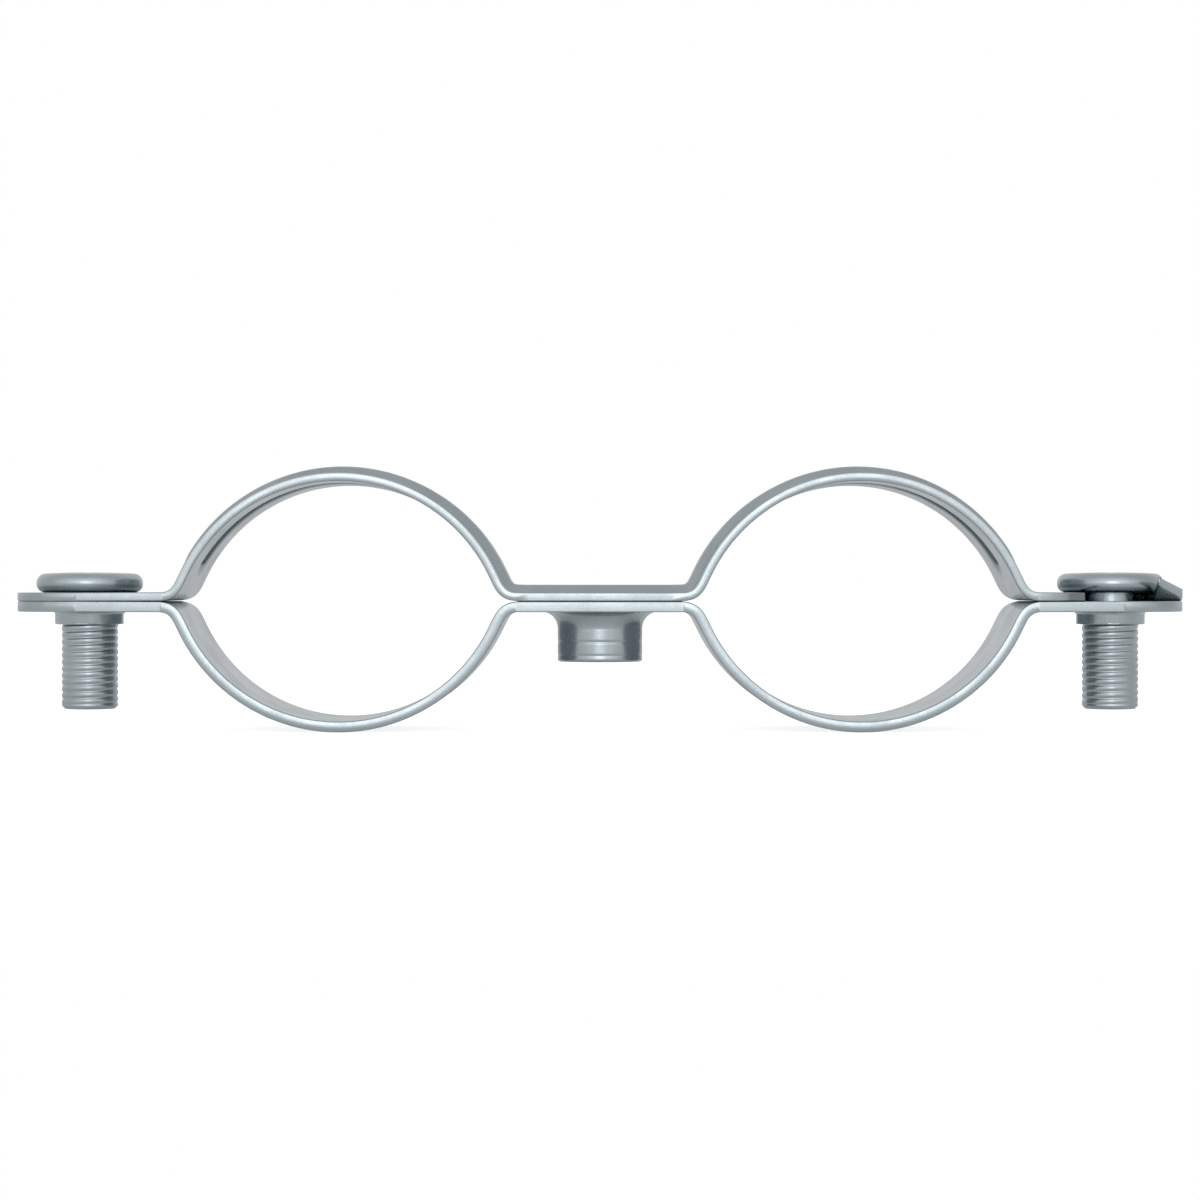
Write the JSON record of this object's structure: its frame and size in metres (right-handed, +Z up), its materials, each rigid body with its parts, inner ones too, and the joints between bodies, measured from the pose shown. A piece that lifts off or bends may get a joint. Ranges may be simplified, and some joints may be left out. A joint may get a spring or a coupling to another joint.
{
  "type": "double conduit strap",
  "caption": "Hinged double conduit strap of zinc-plated sheet steel: two bent strips close two rings side by side, with end screws, a hook-over ear and a threaded centre boss.",
  "frame": {"origin": "centre of the mouth of the threaded boss in the middle of the lower strap", "axes": "+Z up, from the boss to the straps; +X along the straps, from the pivot screw to the hook; +Y from the open side of the hook to its closed back"},
  "size_m": [0.1096, 0.0134, 0.0247],
  "materials": {
    "zinc_sheet": "bright zinc plating on pressed sheet steel, fine marks across the cut edges",
    "zinc_screw": "satin zinc plating on cold-headed steel"
  },
  "bodies": {
    "lower_strap": {"lower_strap": "zinc_sheet"},
    "upper_strap": {"upper_strap": "zinc_sheet"},
    "left_screw": {"left_screw": "zinc_screw"},
    "right_screw": {"right_screw": "zinc_screw"}
  },
  "joints": [
    {"name": "strap_swing", "type": "hinge", "parent": "lower_strap", "child": "upper_strap", "pos_m": [-0.04812, 0, 0.0065], "axis": [0, 0, 1], "range_deg": [0, 7]},
    {"name": "left_screw_travel", "type": "slide", "parent": "lower_strap", "child": "left_screw", "axis": [0, 0, 1], "range_m": [0, 0.008]},
    {"name": "right_screw_travel", "type": "slide", "parent": "lower_strap", "child": "right_screw", "axis": [0, 0, 1], "range_m": [0, 0.0075]}
  ],
  "couplings": [
    {"joint": "right_screw_travel", "follows": "strap_swing", "m_per_rad": 0.06}
  ]
}
